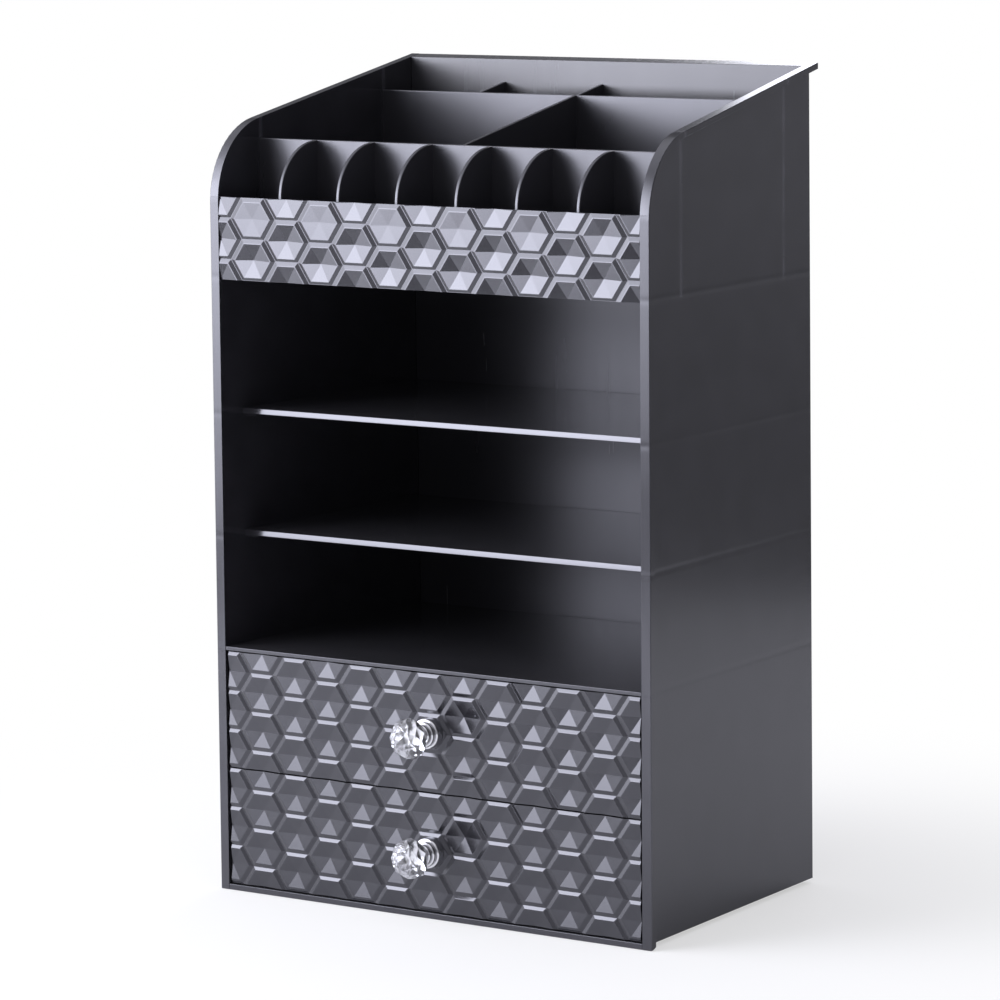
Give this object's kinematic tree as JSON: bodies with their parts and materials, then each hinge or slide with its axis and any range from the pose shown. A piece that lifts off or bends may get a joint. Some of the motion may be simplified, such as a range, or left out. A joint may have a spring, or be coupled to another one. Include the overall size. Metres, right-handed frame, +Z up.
{
  "type": "makeup storage box",
  "caption": "Upright tabletop makeup box: sloped top tray with slots and pockets, open shelved bay, and patterned drawers with crystal knobs.",
  "frame": {"origin": "centre of the bounding box's underside, on the table plane", "axes": "+X to the box's right as seen from the front, +Y to the back, +Z up"},
  "size_m": [0.25, 0.1862, 0.404],
  "materials": {
    "black_plastic": "satin-gloss black moulded plastic",
    "patterned_plastic": "satin black moulded plastic with a faceted relief",
    "chrome": "bright chrome plating",
    "crystal": "clear cut crystal",
    "steel": "zinc-plated steel"
  },
  "bodies": {
    "cabinet": {"left_side_panel": "black_plastic", "right_side_panel": "black_plastic", "back_panel": "black_plastic", "bottom_panel": "black_plastic", "bay_floor": "black_plastic", "lower_shelf": "black_plastic", "upper_shelf": "black_plastic", "tray_floor": "black_plastic", "fascia_panel": "patterned_plastic", "front_partition": "black_plastic", "rear_partition": "black_plastic", "lipstick_divider_1": "black_plastic", "lipstick_divider_2": "black_plastic", "lipstick_divider_3": "black_plastic", "lipstick_divider_4": "black_plastic", "lipstick_divider_5": "black_plastic", "lipstick_divider_6": "black_plastic", "mid_divider": "black_plastic", "rear_divider_1": "black_plastic", "rear_divider_2": "black_plastic"},
    "lower_drawer": {"lower_drawer_front": "patterned_plastic", "lower_drawer_tray": "black_plastic", "lower_drawer_knob_base": "chrome", "lower_drawer_knob_crystal": "crystal", "lower_drawer_knob_screw": "steel"},
    "upper_drawer": {"upper_drawer_front": "patterned_plastic", "upper_drawer_tray": "black_plastic", "upper_drawer_knob_base": "chrome", "upper_drawer_knob_crystal": "crystal", "upper_drawer_knob_screw": "steel"}
  },
  "joints": [
    {"name": "lower_drawer_slide", "type": "slide", "parent": "cabinet", "child": "lower_drawer", "axis": [0, -1, 0], "range_m": [0, 0.125]},
    {"name": "upper_drawer_slide", "type": "slide", "parent": "cabinet", "child": "upper_drawer", "axis": [0, -1, 0], "range_m": [0, 0.125]}
  ]
}
